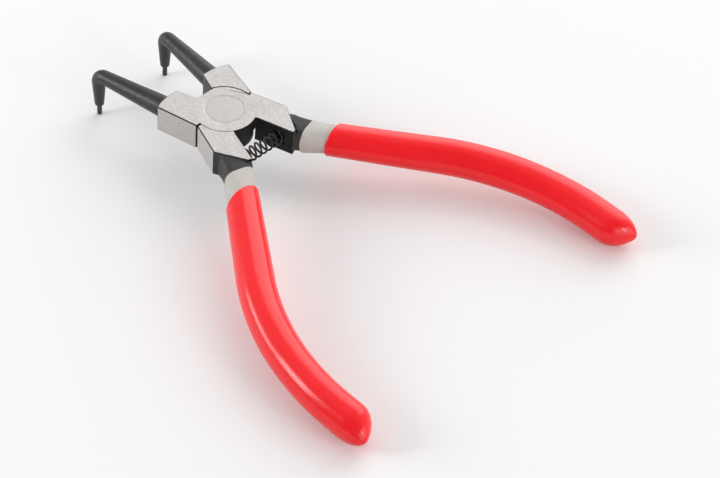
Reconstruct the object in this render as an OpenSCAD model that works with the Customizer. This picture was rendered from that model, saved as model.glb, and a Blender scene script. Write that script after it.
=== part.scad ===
// Internal circlip pliers with tips bent at a right angle, shown opened by their spring.
// Two forged halves cross on a lap joint, held by a flush rivet; each handle is dipped twice.
// Origin on the pivot axis at the underside of the head, +X to the tips, +Y to the left, +Z up.

/* [Head] */
// Thickness of the ground head
head_t = 9.5; // [8:0.1:12]
// Radius of the upper half's lap disc
disc_r = 10; // [9:0.1:12]
// How much smaller the lower half's lap disc is than the upper one
disc_step = 0.8; // [0.4:0.1:1.5]
// Depth of the flat across each lap disc between the jaws
throat_flat = 0.8; // [0.3:0.1:1.2]
// Steel left outside the lap disc at the crotch beside the pivot
root_wall = 1.3; // [0.8:0.1:2]
// Half gap between jaw block and handle block at the open stop
stop_half_gap = 0.3; // [0.15:0.05:0.6]

/* [Jaw Block] */
// Reach of the jaw block beyond the lap disc
jaw_block_len = 6; // [4:0.5:9]
// Rise of the outer edge from the crotch to the jaw end
jaw_rise = 3.4; // [2:0.1:4.5]
// Setback of the outer corner behind the jaw end face
jaw_setback = 1.8; // [0.5:0.1:2.5]
// Half angle of the open throat between the jaws, degrees
throat_half_angle = 19.3; // [16:0.1:21]

/* [Handle Block] */
// Reach of the handle block behind the lap disc
handle_block_len = 11.5; // [10:0.5:14]
// Rise of the outer edge from the crotch to the outer corner
handle_rise = 3.8; // [2.5:0.1:5]
// Distance of the outer corner behind the pivot
handle_corner_x = 11.5; // [9:0.5:13]
// Half gap between the handle blocks at the lap disc
handle_gap_root = 4.8; // [4:0.1:6]
// Half gap between the handle blocks at their ends
handle_gap_end = 8.7; // [7.5:0.1:10]

/* [Jaws] */
// Radius of the jaw where it leaves its block
jaw_root_r = 3.5; // [3:0.05:4]
// Radius of the jaw through the bend
jaw_bend_r = 2.35; // [1.9:0.05:2.6]
// Radius of the jaw at the shoulder above its pin
jaw_end_r = 1.58; // [1.3:0.02:1.7]
// Distance of the jaw axis from the centre plane at the block end
jaw_root_y = 9.9; // [9:0.1:11]
// Splay of the jaw axis from the centre plane, degrees
jaw_splay = 8.6; // [6:0.1:10]
// Reach of the jaw from the block end to the axis of its pin
jaw_reach = 27.4; // [22:0.1:36]
// Dip of the jaw axis below the head's mid plane, degrees
jaw_dip = 4.6; // [1:0.1:7]
// Radius of the bend's inside
jaw_inside_r = 0.6; // [0.3:0.1:2]
// Drop of the shoulder below the head's mid plane
jaw_drop = 14.8; // [12:0.1:20]
// Length of the cone that ends the jaw above its pin
nose_len = 0.9; // [0.4:0.1:1.5]
// Steel left round the pin at the end of that cone
nose_wall = 0.12; // [0.05:0.01:0.15]

/* [Tip Pins] */
// Radius of a tip pin
pin_r = 0.8; // [0.5:0.05:0.85]
// Length of pin standing out of the jaw
pin_out = 4; // [2:0.1:6]
// Radius of the pin's shank inside the jaw
shank_r = 1.05; // [1.05:0.05:1.2]
// Length of shank pressed into the jaw
shank_len = 6; // [4:0.5:9]
// Chamfer on the pin's free end
pin_chamfer = 0.15; // [0.05:0.05:0.3]

/* [Handles] */
// Radius of the neck and of the tang inside the grip
tang_r = 4.25; // [3.8:0.05:4.7]
// Distance behind the pivot where the tang's axis starts, inside its block
tang_x = 16; // [15:0.5:17]
// Distance of the tang's axis from the centre plane there
tang_y = 10; // [9.5:0.1:10.5]
// Angle between the straight run of the tang and the centre plane, degrees
handle_angle = 36.5; // [33:0.5:40]
// Length of the straight run
handle_straight = 48.5; // [44:0.5:60]
// Radius of the bow that brings the handle back parallel
bow_r = 85; // [75:1:100]
// Straight tail of the tang after the bow, to the centre of its round end
tang_tail = 3; // [2:0.5:6]

/* [Grips] */
// Thickness of the grey undercoat
coat_t = 0.4; // [0.3:0.05:0.6]
// Thickness of the red grip at its rim
grip_rim_t = 0.45; // [0.35:0.05:0.7]
// Thickness of the red grip along the bow
grip_t = 1.1; // [0.8:0.05:1.5]
// Straight length of grip behind the bow, before the end narrows
grip_tail = 4.6; // [4:0.1:7]
// Length of the narrowing end
grip_nose = 8.4; // [7:0.1:10]
// How pointed the end is: 1 is an ellipse, more is sharper
nose_power = 1.35; // [1:0.05:1.6]
// Distance of the undercoat's edge from the pivot, square to the edge
coat_start = 24.9; // [24.5:0.1:27]
// Distance of the red grip's edge from the pivot, square to the edge
grip_start = 32.4; // [30:0.1:36]
// Slant of both edges from square across the tool, degrees
edge_slant = 15; // [5:1:25]

/* [Rivet] */
// Radius of the rivet's shank
rivet_r = 4; // [3.5:0.1:4.5]
// Radius of the rivet's flush heads
rivet_head_r = 5.9; // [5.2:0.1:6.4]
// Depth of the countersunk heads
rivet_head_h = 1.9; // [1.2:0.1:2.4]

/* [Spring] */
// Outer radius of the return spring
spring_r = 2.4; // [1.8:0.1:2.6]
// Radius of the spring wire
wire_r = 0.34; // [0.2:0.02:0.4]
// Distance of the spring's axis behind the lap disc
spring_back = 6.3; // [5.5:0.1:7]
// Distance of the spring's axis below the head's mid plane
spring_low = 0; // [0:0.1:1]
// Depth of the spring's blind seat, measured on its axis
seat_depth = 2.2; // [1.5:0.1:3]
// Number of open turns
spring_turns = 7.5; // [5.5:1:9.5]

/* [Fits] */
// Gap between the two lap faces
lap_gap = 0.06; // [0.02:0.01:0.1]
// Radial gap between the upper lap disc and the jaw block's shoulder
shoulder_gap = 0.3; // [0.2:0.05:0.5]
// Radial gap between the upper lap disc and the handle block's shoulder
close_gap = 0.1; // [0.05:0.01:0.2]
// Running gap between the rivet and the lower half
rivet_gap = 0.04; // [0.02:0.01:0.08]
// Radial gap between the spring and its seats
seat_gap = 0.3; // [0.2:0.05:0.5]

/* [Hidden] */
$fn = 96;
lap_len = 0.06;
lap_swell = 0.02;
far = 400;
mid_z = head_t / 2;
lap_half = lap_gap / 2;
shoulder_r = disc_r + shoulder_gap;
close_r = disc_r + close_gap;
low_disc_r = disc_r - disc_step;
throat_x = disc_r - throat_flat;
root_y = shoulder_r + root_wall;
jaw_end_x = disc_r + jaw_block_len;
jaw_in_y = jaw_end_x * tan(throat_half_angle);
jaw_out_y = root_y + jaw_rise;
handle_end_x = disc_r + handle_block_len;
handle_out_y = root_y + handle_rise;
bend_r = jaw_inside_r + jaw_bend_r;
jaw_run = (jaw_reach - bend_r * (1 - sin(jaw_dip))) / cos(jaw_dip);
shoulder_z = mid_z - jaw_drop;
drop_run = jaw_drop - jaw_run * sin(jaw_dip) - bend_r * cos(jaw_dip);
coat_r = tang_r + coat_t;
rim_r = coat_r + grip_rim_t;
grip_r = coat_r + grip_t;
spring_x = disc_r + spring_back;
spring_z = mid_z - spring_low;
wall_slope = (handle_gap_end - handle_gap_root) / (handle_end_x - disc_r * 0.93);
spring_half = handle_gap_root + (spring_x - disc_r * 0.93) * wall_slope + seat_depth;
coil_r = spring_r - wire_r;
end_turns = 1;
all_turns = spring_turns + 2 * end_turns;
coil_len = 2 * spring_half - 2 * wire_r;
end_rise = 2 * wire_r * 1.08;
open_pitch = (coil_len - 2 * end_turns * end_rise) / spring_turns;
coil_steps = 16;
wire_sides = 8;

steel_grey = [0.78, 0.77, 0.76];
steel_black = [0.2, 0.2, 0.21];
coat_grey = [0.74, 0.73, 0.7];
grip_red = [0.95, 0.12, 0.13];

// Outline of a jaw block on the left, reaching inside the lap disc
function jaw_block() = [
    [stop_half_gap, disc_r * 0.5],
    [stop_half_gap, root_y],
    [jaw_end_x - jaw_setback, jaw_out_y],
    [jaw_end_x - jaw_setback * 0.45, jaw_out_y - 2.2],
    [jaw_end_x, (jaw_out_y + jaw_in_y) * 0.44],
    [jaw_end_x, jaw_in_y],
    [throat_x, throat_x * tan(throat_half_angle)],
    [disc_r * 0.5, disc_r * 0.1]
];

// Outline of a handle block on the left, reaching inside the lap disc
function handle_block() = [
    [-stop_half_gap, disc_r * 0.5],
    [-disc_r * 0.5, disc_r * 0.2],
    [-disc_r * 0.93, handle_gap_root],
    [-handle_end_x, handle_gap_end],
    [-handle_end_x + 0.4, handle_gap_end + 1.2],
    [-handle_corner_x - 2.9, handle_out_y - 1.6],
    [-handle_corner_x, handle_out_y],
    [-stop_half_gap, root_y]
];

// Space between the handle blocks, left of the centre plane
function handle_throat() = [
    [-disc_r * 0.93, 0],
    [-disc_r * 0.93, handle_gap_root],
    [-handle_end_x, handle_gap_end],
    [-handle_end_x, 0]
];

// Outline of the grip's narrowing end: radius, then distance along it
function nose_point(a) = [grip_r * pow(cos(a), nose_power), grip_nose * sin(a)];

// Point on the helix at turn t, measured from the spring's right end
function coil_y(t) =
    t < end_turns ? t * end_rise
    : t > all_turns - end_turns ? coil_len - (all_turns - t) * end_rise
    : end_turns * end_rise + (t - end_turns) * open_pitch;

function wire_ring(t) = [
    for (k = [0 : wire_sides - 1])
        let (a = 360 * k / wire_sides, r = coil_r + wire_r * cos(a))
        [r * cos(360 * t), coil_y(t) + wire_r * sin(a), r * sin(360 * t)]
];

module mirrored(on) {
    if (on) mirror([0, 1, 0]) children();
    else children();
}

// Space on the pivot's side of a slanted edge, for the left handle
module before_edge(dist) {
    rotate([0, 0, 180 - edge_slant])
        translate([dist - far, -far, -far])
            cube([far, 2 * far, 2 * far]);
}

// Lap disc with its flat between the jaws
module lap_disc(r, z0, z1) {
    translate([0, 0, z0])
        difference() {
            cylinder(r = r, h = z1 - z0);
            translate([throat_x, -r, -1]) cube([r, 2 * r, head_t + 2]);
        }
}

// Bent round bar that laps a little over the straight bars at its two ends
module elbow(big_r, r, turn) {
    lap = lap_len / big_r * 180 / PI;
    rotate([0, 0, -lap])
        rotate_extrude(angle = turn + 2 * lap)
            translate([big_r, 0]) circle(r = r + lap_swell);
}

// Round jaw on the left: tapered run, right-angle bend, tapered drop
module jaw() {
    translate([jaw_end_x, jaw_root_y, mid_z])
        rotate([0, 0, jaw_splay]) {
            rotate([0, 90 + jaw_dip, 0]) {
                translate([0, 0, -jaw_root_r]) cylinder(r = jaw_root_r, h = jaw_root_r);
                cylinder(r1 = jaw_root_r, r2 = jaw_bend_r, h = jaw_run);
            }
            translate([jaw_reach - bend_r, 0, drop_run - jaw_drop])
                rotate([90, 0, 0]) elbow(bend_r, jaw_bend_r, 90 - jaw_dip);
            translate([jaw_reach, 0, nose_len - jaw_drop])
                cylinder(r1 = jaw_end_r, r2 = jaw_bend_r, h = drop_run - nose_len);
            translate([jaw_reach, 0, -jaw_drop])
                cylinder(r1 = shank_r + nose_wall, r2 = jaw_end_r, h = nose_len);
        }
}

// Places its children at the pin's axis on the left jaw's shoulder
module at_pin() {
    translate([jaw_end_x, jaw_root_y, shoulder_z])
        rotate([0, 0, jaw_splay])
            translate([jaw_reach, 0, 0]) children();
}

// Places its children at the start of the left tang, +X along it
module at_tang() {
    translate([-tang_x, tang_y, mid_z])
        rotate([0, 0, 180 - handle_angle]) children();
}

// Places its children at the end of the bow, +X along the tail
module at_tail() {
    at_tang()
        translate([handle_straight, bow_r, 0])
            rotate([0, 0, handle_angle])
                translate([0, -bow_r, 0]) children();
}

// Bow of the left handle
module bow(r) {
    at_tang()
        translate([handle_straight, bow_r, 0])
            rotate([0, 0, -90]) elbow(bow_r, r, handle_angle);
}

// Round bar along the left handle with a ball end
module handle_bar(r) {
    at_tang()
        rotate([0, 90, 0]) cylinder(r = r, h = handle_straight);
    bow(r);
    at_tail() {
        rotate([0, 90, 0]) cylinder(r = r, h = tang_tail);
        translate([tang_tail, 0, 0]) sphere(r = r);
    }
}

// Outside of the left grip: it thickens to the bow and narrows at the end
module grip_skin() {
    at_tang()
        rotate([0, 90, 0]) cylinder(r1 = rim_r, r2 = grip_r, h = handle_straight);
    bow(grip_r);
    at_tail()
        rotate([0, 90, 0]) cylinder(r = grip_r, h = grip_tail);
    at_tail()
        translate([grip_tail, 0, 0])
            rotate([0, 90, 0])
                rotate_extrude()
                    polygon(concat([[0, 0]], [for (a = [0 : 7.5 : 82.5]) nose_point(a)], [[0, grip_nose]]));
}

// Both blocks, jaw and tang of one forging before its bores; the jaw is on the left
module forging(disc, z0, z1, cut0, cut1) {
    lap_disc(disc, z0, z1);
    difference() {
        linear_extrude(head_t) polygon(jaw_block());
        translate([0, 0, cut0]) cylinder(r = shoulder_r, h = cut1 - cut0);
    }
    jaw();
    mirror([0, 1, 0]) {
        difference() {
            linear_extrude(head_t) polygon(handle_block());
            translate([0, 0, cut0]) cylinder(r = close_r, h = cut1 - cut0);
        }
        difference() {
            handle_bar(tang_r);
            translate([0, 0, -head_t]) linear_extrude(3 * head_t) polygon(handle_throat());
        }
    }
}

// Blind seat for the spring in the right handle block
module spring_seat() {
    translate([-spring_x, -spring_half, spring_z])
        rotate([-90, 0, 0]) cylinder(r = spring_r + seat_gap, h = spring_half);
}

// Rivet shape grown by a running gap
module rivet_shape(gap) {
    translate([0, 0, -1]) cylinder(r = rivet_r + gap, h = head_t + 2);
    cylinder(r1 = rivet_head_r + gap, r2 = rivet_r + gap, h = rivet_head_h);
    translate([0, 0, head_t - rivet_head_h])
        cylinder(r1 = rivet_r + gap, r2 = rivet_head_r + gap, h = rivet_head_h);
}

module pin_bore() {
    at_pin() translate([0, 0, -1]) cylinder(r = shank_r, h = shank_len + 1);
}

module upper_half() {
    color(steel_black)
        difference() {
            forging(disc_r, mid_z + lap_half, head_t, -1, mid_z + lap_half);
            rivet_shape(0);
            spring_seat();
            pin_bore();
        }
}

module lower_half() {
    color(steel_black)
        mirror([0, 1, 0])
            difference() {
                forging(low_disc_r, 0, mid_z - lap_half, mid_z - lap_half, head_t + 1);
                rivet_shape(rivet_gap);
                spring_seat();
                pin_bore();
            }
}

module pivot_rivet() {
    color(steel_grey)
        intersection() {
            rivet_shape(0);
            cylinder(r = rivet_head_r + 1, h = head_t);
        }
}

module return_spring() {
    rings = floor(all_turns * coil_steps);
    points = [for (i = [0 : rings]) each wire_ring(all_turns * i / rings)];
    sides = [for (i = [0 : rings - 1], k = [0 : wire_sides - 1])
        [i * wire_sides + k,
         i * wire_sides + (k + 1) % wire_sides,
         (i + 1) * wire_sides + (k + 1) % wire_sides,
         (i + 1) * wire_sides + k]];
    ends = [[for (k = [wire_sides - 1 : -1 : 0]) k],
            [for (k = [0 : wire_sides - 1]) rings * wire_sides + k]];
    color(steel_black)
        translate([-spring_x, wire_r - spring_half, spring_z])
            polyhedron(points = points, faces = concat(sides, ends));
}

module tip() {
    at_pin() {
        translate([0, 0, -pin_out]) cylinder(r1 = pin_r - pin_chamfer, r2 = pin_r, h = pin_chamfer);
        translate([0, 0, pin_chamfer - pin_out]) cylinder(r = pin_r, h = pin_out - pin_chamfer + 1);
        cylinder(r = shank_r, h = shank_len);
    }
}

module left_tip() {
    color(steel_black) tip();
}

module right_tip() {
    color(steel_black) mirror([0, 1, 0]) tip();
}

module undercoat() {
    difference() {
        handle_bar(coat_r);
        handle_bar(tang_r);
        before_edge(coat_start);
    }
}

module left_undercoat() {
    color(coat_grey) undercoat();
}

module right_undercoat() {
    color(coat_grey) mirror([0, 1, 0]) undercoat();
}

module grip() {
    difference() {
        grip_skin();
        handle_bar(coat_r);
        before_edge(grip_start);
    }
}

module left_grip() {
    color(grip_red) grip();
}

module right_grip() {
    color(grip_red) mirror([0, 1, 0]) grip();
}

upper_half();
lower_half();
pivot_rivet();
return_spring();
left_tip();
right_tip();
left_undercoat();
right_undercoat();
left_grip();
right_grip();
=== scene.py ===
"""Internal circlip pliers with bent tips, opened by their spring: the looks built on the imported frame."""
import math

import bmesh
import bpy
from mathutils import Matrix, Vector
from mathutils.noise import noise as solid_noise


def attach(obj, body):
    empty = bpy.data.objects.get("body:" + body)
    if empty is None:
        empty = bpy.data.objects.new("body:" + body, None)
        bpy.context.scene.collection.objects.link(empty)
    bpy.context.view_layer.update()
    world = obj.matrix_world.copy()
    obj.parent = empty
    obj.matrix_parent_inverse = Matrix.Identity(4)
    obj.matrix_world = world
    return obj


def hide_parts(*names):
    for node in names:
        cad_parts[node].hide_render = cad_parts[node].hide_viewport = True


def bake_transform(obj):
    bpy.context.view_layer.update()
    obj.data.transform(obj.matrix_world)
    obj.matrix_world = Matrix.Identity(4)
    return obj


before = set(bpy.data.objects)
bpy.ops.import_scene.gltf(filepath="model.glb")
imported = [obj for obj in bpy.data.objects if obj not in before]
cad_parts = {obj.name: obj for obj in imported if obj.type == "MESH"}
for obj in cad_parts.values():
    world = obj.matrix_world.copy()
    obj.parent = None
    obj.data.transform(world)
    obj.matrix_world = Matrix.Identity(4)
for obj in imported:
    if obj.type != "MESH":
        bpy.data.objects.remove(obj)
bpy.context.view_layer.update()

# Sizes are in millimetres until a piece is finished.
# The pivot axis is at the origin, +X to the tips, +Y left, +Z up.
MM = 0.001
FORWARD, LEFTWARD, UP = Vector((1, 0, 0)), Vector((0, 1, 0)), Vector((0, 0, 1))
QUARTER = math.pi / 2

# Fineness of the meshes; a ring smaller than POINT_R becomes a point
BAR_SIDES, DISC_SIDES, SEAT_SIDES, PIN_SIDES = 64, 128, 48, 40
SLEEVE_SIDES, SLEEVE_STEP = 96, 1.0
WIRE_SIDES, COIL_STEPS = 14, 40
JAW_RINGS, BEND_RINGS, DROP_RINGS, NOSE_RINGS = 24, 16, 8, 6
NECK_RINGS, NECK_STEP, TANG_RINGS, TANG_STEP, TANG_FROM = 24, 0.5, 43, 2.0, 16
BALL_RINGS, LIP_RINGS, GRIP_END_RINGS = 10, 6, 18
POINT_R, WELD, FLAT = 0.05, 0.01, math.radians(0.3)

# Head
HEAD_T = 9.5
MID_Z = HEAD_T / 2
LAP_HALF = 0.03
DISC_R, LOW_DISC_R = 10.0, 9.2
SHOULDER_R, CLOSE_R = 10.3, 10.1
THROAT_X = 9.2
STOP_X = 0.3
ROOT_Y = 11.6
JAW_END_X, JAW_OUT_Y = 16.0, 15.0
JAW_SETBACK = 1.8
THROAT_SLOPE = math.tan(math.radians(19.3))
HANDLE_END_X, HANDLE_CORNER_X, HANDLE_OUT_Y = 21.5, 11.5, 15.4
WALL_X, WALL_Y, WALL_END_Y = 9.3, 4.8, 8.7
# Lesser corners of the blocks, as shares of or steps from the main ones
JAW_CORNER_SHARE, JAW_CORNER_IN, JAW_FACE_SHARE = 0.45, 2.2, 0.44
HANDLE_TIP_X, HANDLE_TIP_Y, HANDLE_FACET_X, HANDLE_FACET_Y = 0.4, 1.2, 2.9, 1.6
RIVET_R, RIVET_HEAD_R, RIVET_HEAD_H, RIVET_GAP = 4.0, 5.9, 1.9, 0.04
GROOVE_W, GROOVE_DEEP = 0.6, 0.13

# Jaws and tip pins
JAW_ROOT = Vector((JAW_END_X, 9.9, MID_Z))
JAW_SPLAY, JAW_DIP = math.radians(8.6), math.radians(4.6)
JAW_REACH, JAW_DROP = 27.4, 14.8
JAW_ROOT_R, JAW_BEND_R, JAW_END_R = 3.5, 2.35, 1.58
BEND_R = 2.95
JAW_BURIED = 3.0
BEND_SLIMMING = 0.08
PIN_R, PIN_OUT, SHANK_R, SHANK_LEN, PIN_CHAMFER = 0.8, 4.0, 1.05, 6.0, 0.15
PIN_FILLET, PIN_FILLET_END, SHANK_SHOULDER = 0.03, -0.06, 0.02
NOSE_LEN, NOSE_R = 0.9, 1.17
FIT = 0.01

# Handles
TANG_START = Vector((-16.0, 10.0, MID_Z))
HANDLE_ANGLE = math.radians(36.5)
STRAIGHT, BOW_R, TANG_TAIL = 48.5, 85.0, 3.0
TANG_R, COAT_R, RIM_R, GRIP_R = 4.25, 4.65, 5.1, 5.75
GRIP_TAIL, GRIP_NOSE, NOSE_POWER, NOSE_SKEW = 4.6, 8.4, 1.35, 2.2
EDGE_SLANT = math.radians(15)
COAT_START, GRIP_START = 24.9, 32.4
COAT_LIP, GRIP_LIP, LIP_REACH, LEAN_FADE = 0.35, 0.6, 0.9, 14
# The left grip's edge: how much later it starts, and how much more it leans inward and upward
LEFT_DIP = (1.35, 0.2, 0.2)
# Slow waves of the dip: depth, length, and the run over which they fade at the ends
RUN_DEEP, RUN_LONG, RUN_FADE = 0.07, 20.0, 8.0
NECK_FLARE, NECK_FLARE_RUN, NECK_ROOT, NECK_FLARE_UP = 1.3, 2.6, 2.7, 0.2
THROAT_CLEAR = 0.05
NECK_POWER, SQUARE_TO, ROUND_FROM = 3.6, 5.0, 13.5

# Spring
SPRING_X, SPRING_Z, SPRING_HALF = 16.3, MID_Z, 9.24
SPRING_R, WIRE_R, SEAT_GAP = 2.4, 0.34, 0.3
OPEN_TURNS, END_TURNS, END_PITCH = 7.5, 1, 2.16 * WIRE_R

# Edges: black chamfer between two ground faces, other edges, edges of the groove and discs, forged fillets
CHAMFER, EDGE, FINE_EDGE, FILLET = 0.34, 0.16, 0.06, 0.4
EDGE_ANGLE = math.radians(30)
NEAR, RIVET_NEAR = 0.05, 0.2

# Looks of a half's faces, DEEP being the oily black darkened as painted shade in the recesses; BAR marks jaw
# and tang until the edges are set
GROUND, BLACK, DEEP, DULL, BAR = 0, 1, 2, 3, 4


# Mesh building

def skin(rings):
    """Closed mesh through rings of points; a ring of one point closes an end."""
    bm = bmesh.new()
    loops = [[bm.verts.new(p) for p in ring] for ring in rings]
    for a, b in zip(loops, loops[1:]):
        for k in range(max(len(a), len(b))):
            corners = a[k % len(a)], a[(k + 1) % len(a)], b[(k + 1) % len(b)], b[k % len(b)]
            bm.faces.new(tuple(dict.fromkeys(corners)))
    for end in (loops[0], loops[-1]):
        if len(end) > 2:
            bm.faces.new(end)
    bmesh.ops.recalc_face_normals(bm, faces=bm.faces)
    return bm


def corner(turn, power):
    """How far a ring of a power stands out beyond a circle at an angle; power 2 is the circle itself."""
    return (abs(math.cos(turn)) ** power + abs(math.sin(turn)) ** power) ** (-1 / power)


def circle(centre, across, up, r, sides=BAR_SIDES, r_up=None, power=2):
    """Ring of points round a centre, r wide across and r_up high, squarer with more power."""
    if r < POINT_R:
        return [centre]
    r_up = r if r_up is None else r_up
    points = []
    for k in range(sides):
        turn = 2 * math.pi * k / sides
        out = corner(turn, power)
        wide, high = r * out * math.cos(turn), r_up * out * math.sin(turn)
        points.append(centre + across * wide + up * high)
    return points


def prism(outline, z0, z1):
    return skin([[Vector((x, y, z)) for x, y in outline] for z in (z0, z1)])


def turned(profile, sides=DISC_SIDES):
    """Solid of revolution about the pivot axis through (radius, height) pairs."""
    return skin([circle(UP * z, FORWARD, LEFTWARD, r, sides) for r, z in profile])


def as_object(bm, name="work"):
    mesh = bpy.data.meshes.new(name)
    bm.to_mesh(mesh)
    bm.free()
    obj = bpy.data.objects.new(name, mesh)
    bpy.context.scene.collection.objects.link(obj)
    return obj


def taken(obj):
    """The mesh of an object that is done with."""
    bm = bmesh.new()
    bm.from_mesh(obj.data)
    bpy.data.objects.remove(obj)
    return bm


def bake(obj):
    """Applies the modifiers of an object to its mesh."""
    bpy.context.view_layer.update()
    graph = bpy.context.evaluated_depsgraph_get()
    old, obj.data = obj.data, bpy.data.meshes.new_from_object(obj.evaluated_get(graph))
    obj.modifiers.clear()
    bpy.data.meshes.remove(old)


def combine(obj, bm, operation):
    """Adds or cuts a second mesh."""
    other = as_object(bm)
    modifier = obj.modifiers.new("combine", "BOOLEAN")
    modifier.operation, modifier.solver, modifier.object = operation, "EXACT", other
    bake(obj)
    bpy.data.objects.remove(other)


def finish_piece(obj, name, body):
    """Scales a finished mesh to metres and puts it in the place of its CAD node."""
    obj.data.transform(Matrix.Scale(MM, 4))
    obj.name = obj.data.name = name + "_look"
    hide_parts(name)
    if body:
        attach(obj, body)


def smooth_piece(bm, name, body, material, sharp=40):
    """A finished piece with smooth faces that meet sharply only at steep edges."""
    obj = as_object(bm)
    for polygon in obj.data.polygons:
        polygon.use_smooth = True
    obj.data.set_sharp_from_angle(angle=math.radians(sharp))
    obj.data.materials.append(material)
    finish_piece(obj, name, body)
    return obj


# Materials

def material(name, colour, roughness, metallic=0.0, specular=0.5):
    made = bpy.data.materials.new(name)
    made.use_nodes = True
    shader = made.node_tree.nodes["Principled BSDF"]
    shader.inputs["Base Color"].default_value = (*colour, 1)
    shader.inputs["Roughness"].default_value = roughness
    shader.inputs["Metallic"].default_value = metallic
    shader.inputs["Specular IOR Level"].default_value = specular
    return made, made.node_tree, shader


def noise(tree, scale, detail=3.0, stretch=(1, 1, 1)):
    """Noise in the frame of the part, in cycles a metre."""
    place = tree.nodes.new("ShaderNodeTexCoord")
    mapping = tree.nodes.new("ShaderNodeMapping")
    mapping.inputs["Scale"].default_value = stretch
    texture = tree.nodes.new("ShaderNodeTexNoise")
    texture.inputs["Scale"].default_value = scale
    texture.inputs["Detail"].default_value = detail
    tree.links.new(place.outputs["Object"], mapping.inputs["Vector"])
    tree.links.new(mapping.outputs["Vector"], texture.inputs["Vector"])
    return texture.outputs["Fac"]


NOISE_LOW, NOISE_HIGH = 0.3, 0.7


def spread(tree, value, low, high, socket):
    """Feeds a noise to a shader's number, spread between two levels."""
    remap = tree.nodes.new("ShaderNodeMapRange")
    remap.inputs["From Min"].default_value = NOISE_LOW
    remap.inputs["From Max"].default_value = NOISE_HIGH
    remap.inputs["To Min"].default_value = low
    remap.inputs["To Max"].default_value = high
    tree.links.new(value, remap.inputs["Value"])
    tree.links.new(remap.outputs["Result"], socket)


def tint(tree, value, low, high, shader):
    """Mottles the base colour between two colours."""
    ramp = tree.nodes.new("ShaderNodeValToRGB")
    first, last = ramp.color_ramp.elements
    first.position, first.color = NOISE_LOW, (*low, 1)
    last.position, last.color = NOISE_HIGH, (*high, 1)
    tree.links.new(value, ramp.inputs["Fac"])
    tree.links.new(ramp.outputs["Color"], shader.inputs["Base Color"])


def bump(tree, layers, shader):
    """Chains (noise, depth in metres) layers of relief into the shader."""
    last = None
    for value, depth in layers:
        relief = tree.nodes.new("ShaderNodeBump")
        relief.inputs["Strength"].default_value = 1.0
        relief.inputs["Distance"].default_value = depth
        tree.links.new(value, relief.inputs["Height"])
        if last:
            tree.links.new(last, relief.inputs["Normal"])
        last = relief.outputs["Normal"]
    tree.links.new(last, shader.inputs["Normal"])


def ring_line(tree, radius, width, level, shader):
    """Darkens the base colour to a level along a ring round the pivot axis."""
    place = tree.nodes.new("ShaderNodeTexCoord")
    flat = tree.nodes.new("ShaderNodeVectorMath")
    flat.operation = "MULTIPLY"
    flat.inputs[1].default_value = (1, 1, 0)
    length = tree.nodes.new("ShaderNodeVectorMath")
    length.operation = "LENGTH"
    ramp = tree.nodes.new("ShaderNodeMapRange")
    ramp.interpolation_type = "SMOOTHSTEP"
    off = tree.nodes.new("ShaderNodeMath")
    off.operation = "SUBTRACT"
    off.inputs[1].default_value = radius
    size = tree.nodes.new("ShaderNodeMath")
    size.operation = "ABSOLUTE"
    ramp.inputs["From Max"].default_value = width
    ramp.inputs["To Min"].default_value = level
    mix = tree.nodes.new("ShaderNodeMix")
    mix.data_type, mix.blend_type = "RGBA", "MULTIPLY"
    mix.inputs["Factor"].default_value = 1.0
    colour = shader.inputs["Base Color"].links[0].from_socket
    tree.links.new(place.outputs["Object"], flat.inputs[0])
    tree.links.new(flat.outputs["Vector"], length.inputs[0])
    tree.links.new(length.outputs["Value"], off.inputs[0])
    tree.links.new(off.outputs["Value"], size.inputs[0])
    tree.links.new(size.outputs["Value"], ramp.inputs["Value"])
    tree.links.new(colour, mix.inputs["A"])
    tree.links.new(ramp.outputs["Result"], mix.inputs["B"])
    tree.links.new(mix.outputs["Result"], shader.inputs["Base Color"])


def ground_steel():
    """Pale steel left by a fine grinding belt, with the faint ring to which the lap disc was faced."""
    made, tree, shader = material("ground_steel", (0.575, 0.551, 0.538), 0.55, metallic=0.45)
    grain = noise(tree, 1500, 4, (0.6, 2.2, 2.2))
    cloud = noise(tree, 300, 3)
    tint(tree, grain, (0.48, 0.459, 0.447), (0.67, 0.645, 0.632), shader)
    ring_line(tree, radius=DISC_R * MM, width=0.0005, level=0.94, shader=shader)
    spread(tree, cloud, 0.5, 0.61, shader.inputs["Roughness"])
    bump(tree, [(grain, 0.00001), (cloud, 0.00001)], shader)
    return made


def black_steel():
    """Blackened forging with a satin skin."""
    made, tree, shader = material("black_steel", (0.012, 0.012, 0.0125), 0.42, specular=0.6)
    skin_grain = noise(tree, 1900, 4)
    forged = noise(tree, 330, 3)
    tint(tree, forged, (0.008, 0.008, 0.0085), (0.017, 0.0167, 0.017), shader)
    spread(tree, skin_grain, 0.34, 0.5, shader.inputs["Roughness"])
    bump(tree, [(forged, 0.00004), (skin_grain, 0.00009)], shader)
    return made


def dull_black():
    """Forging scale left on the necks."""
    made, tree, shader = material("dull_black", (0.022, 0.021, 0.0205), 0.6, specular=0.6)
    scale = noise(tree, 420, 4)
    tint(tree, scale, (0.014, 0.0135, 0.013), (0.032, 0.0305, 0.03), shader)
    spread(tree, scale, 0.5, 0.7, shader.inputs["Roughness"])
    bump(tree, [(scale, 0.00008)], shader)
    return made


def oily_shaded_black():
    """Oiled black of the lap and the spring's walls, darker than the satin black as painted shade in these
    recesses.
    """
    made, tree, shader = material("oily_shaded_black", (0.008, 0.0075, 0.0075), 0.6, specular=0.25)
    grain = noise(tree, 1400, 4)
    tint(tree, grain, (0.005, 0.0045, 0.0045), (0.012, 0.0105, 0.01), shader)
    spread(tree, grain, 0.5, 0.7, shader.inputs["Roughness"])
    bump(tree, [(grain, 0.00002)], shader)
    return made


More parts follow.
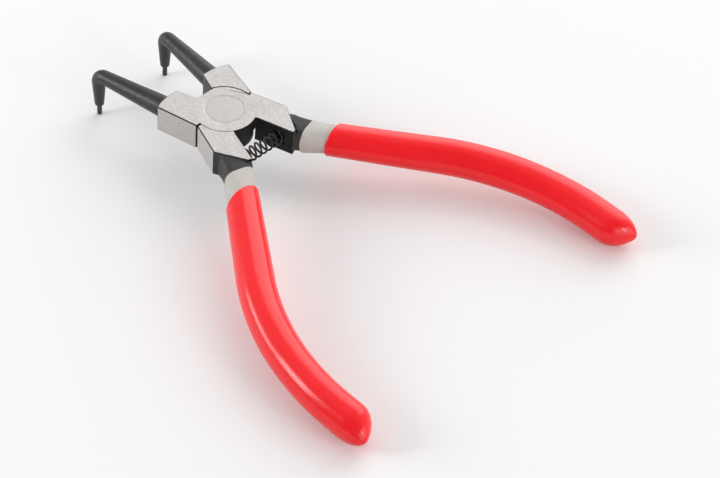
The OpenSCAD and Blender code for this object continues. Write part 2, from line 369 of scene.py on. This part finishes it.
def rivet_steel():
    """Rivet end, ground with the head."""
    made, tree, shader = material("rivet_steel", (0.555, 0.531, 0.518), 0.55, metallic=0.45)
    grain = noise(tree, 1500, 4, (2.2, 0.6, 2.2))
    tint(tree, grain, (0.49, 0.468, 0.456), (0.62, 0.595, 0.583), shader)
    spread(tree, grain, 0.5, 0.61, shader.inputs["Roughness"])
    bump(tree, [(grain, 0.00001)], shader)
    return made


def pin_steel():
    """Hardened pin with faint drawing lines along it."""
    made, tree, shader = material("pin_steel", (0.022, 0.0205, 0.0195), 0.36, specular=0.6)
    lines = noise(tree, 2200, 3, (3, 3, 0.2))
    tint(tree, lines, (0.015, 0.014, 0.0135), (0.032, 0.0295, 0.028), shader)
    spread(tree, lines, 0.28, 0.44, shader.inputs["Roughness"])
    bump(tree, [(lines, 0.000006)], shader)
    return made


def wire_steel():
    """Oiled black spring wire."""
    made, tree, shader = material("wire_steel", (0.01, 0.01, 0.01), 0.32)
    streak = noise(tree, 1500, 3)
    tint(tree, streak, (0.006, 0.006, 0.006), (0.016, 0.016, 0.016), shader)
    spread(tree, streak, 0.26, 0.42, shader.inputs["Roughness"])
    bump(tree, [(streak, 0.000008)], shader)
    return made


def grey_vinyl():
    """First dip: dull warm grey, lightly pitted."""
    made, tree, shader = material("grey_vinyl", (0.56, 0.53, 0.49), 0.5)
    cloud = noise(tree, 240, 3)
    pits = noise(tree, 1800, 3)
    tint(tree, cloud, (0.53, 0.5, 0.462), (0.59, 0.56, 0.52), shader)
    spread(tree, pits, 0.44, 0.58, shader.inputs["Roughness"])
    bump(tree, [(cloud, 0.00006), (pits, 0.000012)], shader)
    return made


def red_vinyl():
    """Second dip: glossy red."""
    made, tree, shader = material("red_vinyl", (0.97, 0.006, 0.012), 0.2)
    waves = noise(tree, 45, 2)
    peel = noise(tree, 500, 1)
    tint(tree, waves, (0.95, 0.005, 0.011), (1.0, 0.007, 0.014), shader)
    spread(tree, peel, 0.19, 0.25, shader.inputs["Roughness"])
    return made


# Head, jaws and necks

def jaw_outline():
    """Left jaw block seen from above, with its root inside the lap disc."""
    jaw_in_y = JAW_END_X * THROAT_SLOPE
    return [
        (STOP_X, DISC_R * 0.5), (STOP_X, ROOT_Y),
        (JAW_END_X - JAW_SETBACK, JAW_OUT_Y),
        (JAW_END_X - JAW_SETBACK * JAW_CORNER_SHARE, JAW_OUT_Y - JAW_CORNER_IN),
        (JAW_END_X, (JAW_OUT_Y + jaw_in_y) * JAW_FACE_SHARE), (JAW_END_X, jaw_in_y),
        (THROAT_X, THROAT_X * THROAT_SLOPE), (DISC_R * 0.5, DISC_R * 0.1),
    ]


def handle_outline():
    """Left handle block seen from above, with its root inside the lap disc."""
    return [
        (-STOP_X, DISC_R * 0.5), (-DISC_R * 0.5, DISC_R * 0.2),
        (-WALL_X, WALL_Y), (-HANDLE_END_X, WALL_END_Y),
        (-HANDLE_END_X + HANDLE_TIP_X, WALL_END_Y + HANDLE_TIP_Y),
        (-HANDLE_CORNER_X - HANDLE_FACET_X, HANDLE_OUT_Y - HANDLE_FACET_Y),
        (-HANDLE_CORNER_X, HANDLE_OUT_Y), (-STOP_X, ROOT_Y),
    ]


def disc_outline(r):
    """Lap disc with its flat between the jaws."""
    flat = math.acos(THROAT_X / r) if r > THROAT_X else 0.0
    steps = DISC_SIDES - 4
    turns = [flat + (2 * math.pi - 2 * flat) * k / steps for k in range(steps + (flat > 0))]
    return [(r * math.cos(t), r * math.sin(t)) for t in turns]


def jaw_bar():
    """Tapered round jaw, its right-angle bend and its drop, with the pin's bore in the end."""
    splay = Matrix.Rotation(JAW_SPLAY, 3, "Z")
    across = splay @ LEFTWARD
    run = (JAW_REACH - BEND_R * (1 - math.sin(JAW_DIP))) / math.cos(JAW_DIP)
    bend_x, bend_z = JAW_REACH - BEND_R, -run * math.sin(JAW_DIP) - BEND_R * math.cos(JAW_DIP)
    slim_r, thick_r = JAW_BEND_R - BEND_SLIMMING, JAW_BEND_R
    stations = []
    for k in range(JAW_RINGS + 1):
        s = -JAW_BURIED + (run + JAW_BURIED) * k / JAW_RINGS
        r = JAW_ROOT_R + (thick_r - JAW_ROOT_R) * max(s, 0) / run
        stations.append((s * math.cos(JAW_DIP), -s * math.sin(JAW_DIP), JAW_DIP, r))
    for k in range(1, BEND_RINGS + 1):
        turn = JAW_DIP + (QUARTER - JAW_DIP) * k / BEND_RINGS
        r = thick_r + (slim_r - thick_r) * k / BEND_RINGS
        x, z = bend_x + BEND_R * math.sin(turn), bend_z + BEND_R * math.cos(turn)
        stations.append((x, z, turn, r))
    nose_z = NOSE_LEN - JAW_DROP
    for k in range(1, DROP_RINGS + 1):
        z = bend_z + (nose_z - bend_z) * k / DROP_RINGS
        stations.append((JAW_REACH, z, QUARTER, slim_r + (JAW_END_R - slim_r) * k / DROP_RINGS))
    for k in range(1, NOSE_RINGS + 1):
        turn = QUARTER * k / NOSE_RINGS
        r = JAW_END_R - (JAW_END_R - NOSE_R) * (1 - math.cos(turn))
        stations.append((JAW_REACH, nose_z - NOSE_LEN * math.sin(turn), QUARTER, r))
    for bore_z in (-JAW_DROP, SHANK_LEN + FIT - JAW_DROP):
        stations.append((JAW_REACH, bore_z, QUARTER, SHANK_R + FIT))
    rings = []
    for x, z, turn, r in stations:
        up = splay @ Vector((math.sin(turn), 0, math.cos(turn)))
        rings.append(circle(JAW_ROOT + splay @ Vector((x, 0, z)), across, up, r))
    return skin(rings)


def heading(angle):
    """Directions along and inward of a handle that runs at an angle."""
    return Vector((math.cos(angle), math.sin(angle), 0)), Vector((-math.sin(angle), math.cos(angle), 0))


TAIL_START = STRAIGHT + BOW_R * HANDLE_ANGLE


def handle_frame(s):
    """Centre, inward and along directions of the left handle's axis, s from the start of its tang."""
    angle = math.pi - HANDLE_ANGLE
    along, inward = heading(angle)
    point = TANG_START + along * min(s, STRAIGHT)
    if s > STRAIGHT:
        turn = (min(s, TAIL_START) - STRAIGHT) / BOW_R
        point += along * (BOW_R * math.sin(turn)) + inward * (BOW_R * (1 - math.cos(turn)))
        along, inward = heading(angle + turn)
    if s > TAIL_START:
        point += along * (s - TAIL_START)
    return point, inward, along


def squareness(s):
    """Power of the handle's section: forged squarish at its block and round before the grip starts."""
    share = min(max((ROUND_FROM - s) / (ROUND_FROM - SQUARE_TO), 0.0), 1.0)
    return 2 + (NECK_POWER - 2) * share * share * (3 - 2 * share)


def ball_end(r, tail):
    """(distance, radius) stations of a round end, tail past the bow."""
    turns = [QUARTER * k / BALL_RINGS for k in range(1, BALL_RINGS + 1)]
    return [(TAIL_START + tail + r * math.sin(t), r * math.cos(t)) for t in turns]


def neck_bar():
    """Neck flared to its block on the outer side, then the tang; it keeps out of the throat."""
    rings = []
    spots = [0.0] + [NECK_ROOT + NECK_STEP * k for k in range(NECK_RINGS + 1)]
    spots += [TANG_FROM + TANG_STEP * k for k in range(1, TANG_RINGS + 1)] + [TAIL_START + TANG_TAIL]
    for s in spots:
        centre, inward, _ = handle_frame(s)
        flare = NECK_FLARE * math.exp(-max(s - NECK_ROOT, 0) / NECK_FLARE_RUN)
        rings.append(circle(centre - inward * (flare / 2), inward, UP, TANG_R + flare / 2,
                            r_up=TANG_R + NECK_FLARE_UP * flare, power=squareness(s)))
    for s, r in ball_end(TANG_R, TANG_TAIL):
        centre, inward, _ = handle_frame(s)
        rings.append(circle(centre, inward, UP, r))
    bar = as_object(skin(rings))
    throat = [(-WALL_X + 4, 0), (-WALL_X + 4, WALL_Y), (-WALL_X, WALL_Y + THROAT_CLEAR),
              (-HANDLE_END_X, WALL_END_Y + THROAT_CLEAR), (-HANDLE_END_X, 0)]
    combine(bar, prism(throat, -HEAD_T, 2 * HEAD_T), "DIFFERENCE")
    return taken(bar)


def mirrored(bm):
    """The same mesh on the other side of the centre plane."""
    bm.transform(Matrix.Diagonal((1, -1, 1, 1)))
    bmesh.ops.reverse_faces(bm, faces=bm.faces)
    return bm


def marked(bm, index):
    for face in bm.faces:
        face.material_index = index
    return bm


def is_ground(face):
    """Belt-ground faces: top, underside and the blocks' outer sides."""
    n, c = face.normal, face.calc_center_median()
    if abs(n.z) > 0.95:
        return c.z > HEAD_T - GROOVE_DEEP or c.z < GROOVE_DEEP
    return abs(n.y) > 0.9 and abs(c.y) > ROOT_Y - 0.5 and n.y * c.y > 0


def is_shaded_recess(face):
    """Faces in the lap and on the handle blocks' inner walls, which are oily and get a darker black as
    painted shade.
    """
    n, c = face.normal, face.calc_center_median()
    in_lap = math.hypot(c.x, c.y) < SHOULDER_R + NEAR
    return in_lap or c.x < 0 and n.y * c.y < -0.3 * abs(c.y)


def edge_width(edge):
    """Width of the bevel on an edge of a half, 0 where it stays sharp."""
    if len(edge.link_faces) != 2 or edge.calc_face_angle(0) < EDGE_ANGLE:
        return 0
    kinds = {face.material_index for face in edge.link_faces}
    if not edge.is_convex:
        return FILLET if BAR in kinds and len(kinds) > 1 else 0
    if BAR in kinds:
        return 0
    middle = (edge.verts[0].co + edge.verts[1].co) / 2
    from_pivot = math.hypot(middle.x, middle.y)
    if from_pivot < RIVET_HEAD_R + RIVET_NEAR:
        return 0
    if from_pivot < SHOULDER_R + NEAR:
        return FINE_EDGE
    return CHAMFER if kinds == {GROUND} else EDGE


def half(name, body, disc_r, disc_z, cut_z, lower, materials):
    """One forging: lap disc, jaw block with its jaw, handle block with its neck and tang."""
    obj = as_object(marked(prism(jaw_outline(), 0, HEAD_T), BLACK))
    combine(obj, marked(turned([(SHOULDER_R, z) for z in cut_z]), BLACK), "DIFFERENCE")
    handle = as_object(marked(mirrored(prism(handle_outline(), 0, HEAD_T)), BLACK))
    combine(handle, marked(turned([(CLOSE_R, z) for z in cut_z]), BLACK), "DIFFERENCE")
    combine(obj, taken(handle), "UNION")
    combine(obj, marked(prism(disc_outline(disc_r), *disc_z), BLACK), "UNION")
    combine(obj, marked(jaw_bar(), BAR), "UNION")
    combine(obj, marked(mirrored(neck_bar()), BAR), "UNION")
    bore = turned(rivet_bore(RIVET_GAP if lower else FIT, past=1.0))
    combine(obj, marked(bore, BLACK), "DIFFERENCE")
    seat_ends = [Vector((-SPRING_X, y, SPRING_Z)) for y in (-SPRING_HALF, 0)]
    seat = skin([circle(c, FORWARD, UP, SPRING_R + SEAT_GAP, SEAT_SIDES) for c in seat_ends])
    combine(obj, marked(seat, BLACK), "DIFFERENCE")

    bm = bmesh.new()
    bm.from_mesh(obj.data)
    bmesh.ops.remove_doubles(bm, verts=bm.verts, dist=WELD)
    bmesh.ops.dissolve_limit(bm, angle_limit=FLAT, verts=bm.verts, edges=bm.edges)
    bm.normal_update()
    for face in bm.faces:
        face.smooth = True
        if face.material_index != BAR:
            # Lap and inner-wall faces take the darker black of painted shade
            face.material_index = GROUND if is_ground(face) else DEEP if is_shaded_recess(face) else BLACK
    weight = bm.edges.layers.float.new("bevel_weight_edge")
    for edge in bm.edges:
        edge[weight] = edge_width(edge) / FILLET
    for face in bm.faces:
        if face.material_index == BAR:
            face.material_index = DULL if face.calc_center_median().x < 0 else BLACK
    if lower:
        mirrored(bm)
    bm.to_mesh(obj.data)
    bm.free()
    for metal in materials:
        obj.data.materials.append(metal)
    bevel = obj.modifiers.new("edges", "BEVEL")
    bevel.limit_method, bevel.width, bevel.segments = "WEIGHT", FILLET, 3
    bevel.use_clamp_overlap, bevel.harden_normals, bevel.material = False, True, BLACK
    bake(obj)
    finish_piece(obj, name, body)


# Rivet, pins, spring and sleeves

def rivet_bore(gap, past):
    """(radius, height) of the rivet's hole, with a shallow groove at the head's faces, running past them."""
    shank, head = RIVET_R + gap, RIVET_HEAD_R + gap
    mouth = head + GROOVE_W
    low = [(mouth, -past), (mouth, 0), (head, GROOVE_DEEP), (shank, RIVET_HEAD_H)]
    return low + [(r, HEAD_T - z) for r, z in reversed(low)]


def rivet(metal):
    """Rivet with both ends ground flush and rounded off into the groove."""
    turns = [QUARTER * k / 5 for k in range(6)]
    profile = [(RIVET_HEAD_R - GROOVE_W * (1 - math.sin(t)), GROOVE_DEEP * (1 - math.cos(t)))
               for t in turns]
    profile.append((RIVET_R, RIVET_HEAD_H))
    profile += [(r, HEAD_T - z) for r, z in reversed(profile)]
    smooth_piece(turned(profile), "pivot_rivet", "upper_half", metal, sharp=25)


def tip_pin(name, body, left, metal):
    """Pin with a chamfered, slightly rounded end and its shank up the jaw."""
    splay = Matrix.Rotation(JAW_SPLAY, 3, "Z")
    foot = JAW_ROOT + splay @ Vector((JAW_REACH, 0, -JAW_DROP))
    profile = [(SHANK_R, SHANK_LEN), (SHANK_R, SHANK_SHOULDER)]
    profile += [(PIN_R + PIN_FILLET, SHANK_SHOULDER), (PIN_R, PIN_FILLET_END)]
    profile += [(PIN_R, -PIN_OUT * k / 8) for k in range(1, 8)]
    for k in range(5):
        turn = QUARTER * k / 4
        r = PIN_R - PIN_CHAMFER * (1 - math.cos(turn))
        profile.append((r, PIN_CHAMFER * (1 - math.sin(turn)) - PIN_OUT))
    bm = skin([circle(foot + UP * z, FORWARD, LEFTWARD, r, PIN_SIDES) for r, z in profile])
    smooth_piece(bm if left else mirrored(bm), name, body, metal)


def spring(metal):
    """Coil between the two seats, with a closed turn at each end."""
    turns = OPEN_TURNS + 2 * END_TURNS
    coil_r, length = SPRING_R - WIRE_R, 2 * SPRING_HALF - 2 * WIRE_R
    pitch = (length - 2 * END_TURNS * END_PITCH) / OPEN_TURNS
    rings = []
    for k in range(int(turns * COIL_STEPS) + 1):
        t = k / COIL_STEPS
        y = t * END_PITCH if t < END_TURNS else END_TURNS * END_PITCH + (t - END_TURNS) * pitch
        if t > turns - END_TURNS:
            y = length - (turns - t) * END_PITCH
        out = Vector((math.cos(2 * math.pi * t), 0, math.sin(2 * math.pi * t)))
        centre = Vector((-SPRING_X, y + WIRE_R - SPRING_HALF, SPRING_Z)) + out * coil_r
        rings.append(circle(centre, out, LEFTWARD, WIRE_R, WIRE_SIDES))
    obj = smooth_piece(skin(rings), "return_spring", None, metal, sharp=60)
    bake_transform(obj)


def sleeve_ring(s, r, start, lean, runs=0.0):
    """Ring of a sleeve, leaning with the front edge where it is near it.

    The edge lies ahead on the inner and upper sides. The slow waves of the dip, runs deep, fade out
    towards both ends.
    """
    runs *= min(max(min(s - start, TAIL_START - s) / RUN_FADE, 0.0), 1.0)
    fade = min(max(0.0, 1 - (s - start) / LEAN_FADE), 1.0)
    fade *= fade * (3 - 2 * fade)
    points = []
    for k in range(SLEEVE_SIDES):
        turn = 2 * math.pi * k / SLEEVE_SIDES
        inner, upper = r * math.cos(turn), r * math.sin(turn)
        at = s - (inner * lean[0] + upper * lean[1]) * fade
        centre, inward, _ = handle_frame(at)
        out = (inward * inner + UP * upper) * corner(turn, squareness(at))
        points.append(centre + out * (1 + runs / r * solid_noise((centre + out) / RUN_LONG)))
    return points


def front_edge(dist):
    """Distance along the tang at which a slanted edge crosses its axis, and how far the edge leans inward."""
    slant = Vector((-math.cos(EDGE_SLANT), math.sin(EDGE_SLANT), 0))
    _, inward, along = handle_frame(0)
    return (dist - slant.dot(TANG_START)) / slant.dot(along), slant.dot(inward) / slant.dot(along)


def sleeve(start, lean, inner_r, outer, outer_end, lip):
    """Closed sleeve over a bar of inner_r; outer(s) is its radius and outer_end its (s, r, skew) stations."""
    count = int((TAIL_START - start - 1) / SLEEVE_STEP)
    spots = [start + LIP_REACH + SLEEVE_STEP * k for k in range(count)]
    inside = reversed([start] + spots + [TAIL_START, TAIL_START + TANG_TAIL])
    bottom = reversed(ball_end(inner_r, TANG_TAIL))
    rings = [circle(*end_frame(s, 0), r, SLEEVE_SIDES) for s, r in bottom]
    rings += [sleeve_ring(s, inner_r, start, lean) for s in inside]
    for k in range(1, LIP_RINGS + 1):
        turn = QUARTER * k / LIP_RINGS
        s = start + lip * (1 - math.cos(turn))
        rings.append(sleeve_ring(s, inner_r + (outer(s) - inner_r) * math.sin(turn), start, lean))
    rings += [sleeve_ring(s, outer(s), start, lean, RUN_DEEP) for s in spots + [TAIL_START]]
    rings += [circle(*end_frame(s, skew), r, SLEEVE_SIDES) for s, r, skew in outer_end]
    return skin(rings)


def end_frame(s, skew):
    """Ring frame past the bow, set outward by skew."""
    centre, inward, _ = handle_frame(s)
    return centre - inward * skew, inward, UP


def coat_sleeve():
    """Grey sleeve; the same on both handles."""
    end = [(TAIL_START + TANG_TAIL, COAT_R, 0)] + [(s, r, 0) for s, r in ball_end(COAT_R, TANG_TAIL)]
    start, lean = front_edge(COAT_START)
    return sleeve(start, (lean, 0), TANG_R + FIT, lambda s: COAT_R, end, COAT_LIP)


def grip_radius(s):
    return RIM_R + (GRIP_R - RIM_R) * min(s / STRAIGHT, 1)


def grip_sleeve(side):
    """Red sleeve ending in a blunt point set to the outer side; the left one was dipped at more of a tilt."""
    end = [(TAIL_START + GRIP_TAIL, GRIP_R, 0)]
    for k in range(1, GRIP_END_RINGS + 1):
        turn = QUARTER * k / GRIP_END_RINGS
        end.append((TAIL_START + GRIP_TAIL + GRIP_NOSE * math.sin(turn),
                    GRIP_R * math.cos(turn) ** NOSE_POWER, NOSE_SKEW * math.sin(turn) ** 2))
    start, lean = front_edge(GRIP_START)
    late, more, rise = LEFT_DIP if side == "left" else (0, 0, 0)
    return sleeve(start + late, (lean + more, rise), COAT_R + FIT, grip_radius, end, GRIP_LIP)


# Assembly

# The third black is oily and darker, as painted shade on the recessed faces
steels = [ground_steel(), black_steel(), oily_shaded_black(), dull_black()]
lap_top, lap_bottom = MID_Z + LAP_HALF, MID_Z - LAP_HALF
half("upper_half", "upper_half", DISC_R, (lap_top, HEAD_T), (-1, lap_top), False, steels)
half("lower_half", "lower_half", LOW_DISC_R, (0, lap_bottom), (lap_bottom, HEAD_T + 1), True, steels)
rivet(rivet_steel())
pin_metal = pin_steel()
tip_pin("left_tip", "upper_half", True, pin_metal)
tip_pin("right_tip", "lower_half", False, pin_metal)
spring(wire_steel())
grey, red = grey_vinyl(), red_vinyl()
for side, body in (("left", "lower_half"), ("right", "upper_half")):
    for kind, bm, vinyl in (("undercoat", coat_sleeve(), grey), ("grip", grip_sleeve(side), red)):
        shape = bm if side == "left" else mirrored(bm)
        smooth_piece(shape, f"{side}_{kind}", body, vinyl, sharp=60)


# Floor, light and camera

FLOOR_SIZE, FLOOR_GAP = 6, 0.1
FLOOR_SEEN, FLOOR_BOUNCE = 0.92, 0.6
GRIP_REST_X = -113.0


def floor():
    """Pale floor under the pin ends and the undersides of the grips; it throws less light than it shows."""
    front_x, front_z = JAW_END_X + JAW_REACH * math.cos(JAW_SPLAY), MID_Z - JAW_DROP - PIN_OUT
    tilt = math.atan2(MID_Z - GRIP_R - front_z, front_x - GRIP_REST_X)
    bpy.ops.mesh.primitive_plane_add(size=FLOOR_SIZE)
    plane = bpy.context.object
    plane.name = "floor"
    plane.rotation_euler = (0, tilt, 0)
    plane.location = Vector((front_x, 0, front_z - FLOOR_GAP)) * MM
    made, tree, shader = material("floor", (FLOOR_SEEN,) * 3, 0.9, specular=0.1)
    path = tree.nodes.new("ShaderNodeLightPath")
    seen = path.outputs["Is Camera Ray"]
    for ray in ("Is Glossy Ray", "Is Transmission Ray"):
        either = tree.nodes.new("ShaderNodeMath")
        either.operation = "MAXIMUM"
        tree.links.new(seen, either.inputs[0])
        tree.links.new(path.outputs[ray], either.inputs[1])
        seen = either.outputs["Value"]
    level = tree.nodes.new("ShaderNodeMapRange")
    level.inputs["To Min"].default_value = FLOOR_BOUNCE
    level.inputs["To Max"].default_value = FLOOR_SEEN
    tree.links.new(seen, level.inputs["Value"])
    tree.links.new(level.outputs["Result"], shader.inputs["Base Color"])
    plane.data.materials.append(made)


# Directions of the lamps as the camera sees them, and the lamps' aim and distance in metres
BEHIND, RIGHT = Vector((0.651, -0.759, 0)), Vector((-0.759, -0.651, 0))
LAMP_AIM, LAMP_AWAY = Vector((-0.03, 0, 0)), 0.85
# Name, how far behind, right and up it stands, width and height in metres, radiance
LAMPS = (
    ("back_box", 0.78, 0.33, 0.53, 0.9, 0.8, 1.6),
    ("left_strip", 0.14, -0.95, 0.25, 0.3, 0.18, 7.0),
    ("left_box", -0.2, -0.88, 0.38, 0.22, 0.34, 9.0),
    ("right_box", -0.6, 0.72, 0.3, 1.2, 0.55, 1.7),
    ("right_spot", -0.55, 0.72, 0.46, 0.1, 0.14, 12.0),
)
# Level of the room in front of and behind the part, and half the share over which it changes
ROOM_FRONT, ROOM_BACK, ROOM_CHANGE = 0.32, 0.74, 0.4


def softbox(name, behind, right, up, width, height, radiance):
    """Area light aimed at the part; its watts follow from its size and radiance."""
    data = bpy.data.lights.new(name, "AREA")
    data.shape, data.size, data.size_y = "RECTANGLE", width, height
    data.energy = radiance * math.pi * width * height
    obj = bpy.data.objects.new(name, data)
    towards = (BEHIND * behind + RIGHT * right + UP * up).normalized()
    obj.location = LAMP_AIM + towards * LAMP_AWAY
    obj.rotation_euler = (LAMP_AIM - obj.location).to_track_quat("-Z", "Y").to_euler()
    bpy.context.scene.collection.objects.link(obj)


def studio():
    """Room that brightens behind the part.

    A large box at the back, a low strip and a box on the left, a wide fill and a small spot on the right.
    """
    world = bpy.data.worlds.new("studio")
    bpy.context.scene.world = world
    world.use_nodes = True
    tree = world.node_tree
    place = tree.nodes.new("ShaderNodeTexCoord")
    along = tree.nodes.new("ShaderNodeVectorMath")
    along.operation = "DOT_PRODUCT"
    along.inputs[1].default_value = BEHIND
    level = tree.nodes.new("ShaderNodeMapRange")
    level.interpolation_type = "SMOOTHSTEP"
    level.inputs["From Min"].default_value = -ROOM_CHANGE
    level.inputs["From Max"].default_value = ROOM_CHANGE
    level.inputs["To Min"].default_value = ROOM_FRONT
    level.inputs["To Max"].default_value = ROOM_BACK
    tree.links.new(place.outputs["Generated"], along.inputs[0])
    tree.links.new(along.outputs["Value"], level.inputs["Value"])
    tree.links.new(level.outputs["Result"], tree.nodes["Background"].inputs["Color"])
    for lamp in LAMPS:
        softbox(*lamp)


def camera():
    """The photograph's camera: turned, raised and rolled about a point on top of the pivot."""
    turn, rise, roll = 2.4326881, 0.8082878, 0.0977492
    focal_px, distance = 2200.0, 678.142
    width_px, height_px = 720, 478
    pivot_px = (224.731, 108.891)
    r = Vector((math.cos(turn), -math.sin(turn), 0))
    d = -Vector((math.sin(rise) * math.sin(turn), math.sin(rise) * math.cos(turn), math.cos(rise)))
    ahead = Vector((math.cos(rise) * math.sin(turn), math.cos(rise) * math.cos(turn), -math.sin(rise)))
    right = r * math.cos(roll) - d * math.sin(roll)
    down = r * math.sin(roll) + d * math.cos(roll)
    side = (pivot_px[0] - width_px / 2) * distance / focal_px
    drop = (pivot_px[1] - height_px / 2) * distance / focal_px
    place = Vector((0, 0, HEAD_T)) - right * side - down * drop - ahead * distance
    data = bpy.data.cameras.new("camera")
    data.sensor_width = 36
    data.lens = focal_px / width_px * data.sensor_width
    data.clip_start, data.clip_end = 0.01, 20
    obj = bpy.data.objects.new("camera", data)
    obj.matrix_world = Matrix((right, -down, -ahead)).transposed().to_4x4()
    obj.location = place * MM
    bpy.context.scene.collection.objects.link(obj)
    bpy.context.scene.camera = obj


floor()
studio()
camera()
bpy.context.scene.view_settings.view_transform = "Standard"
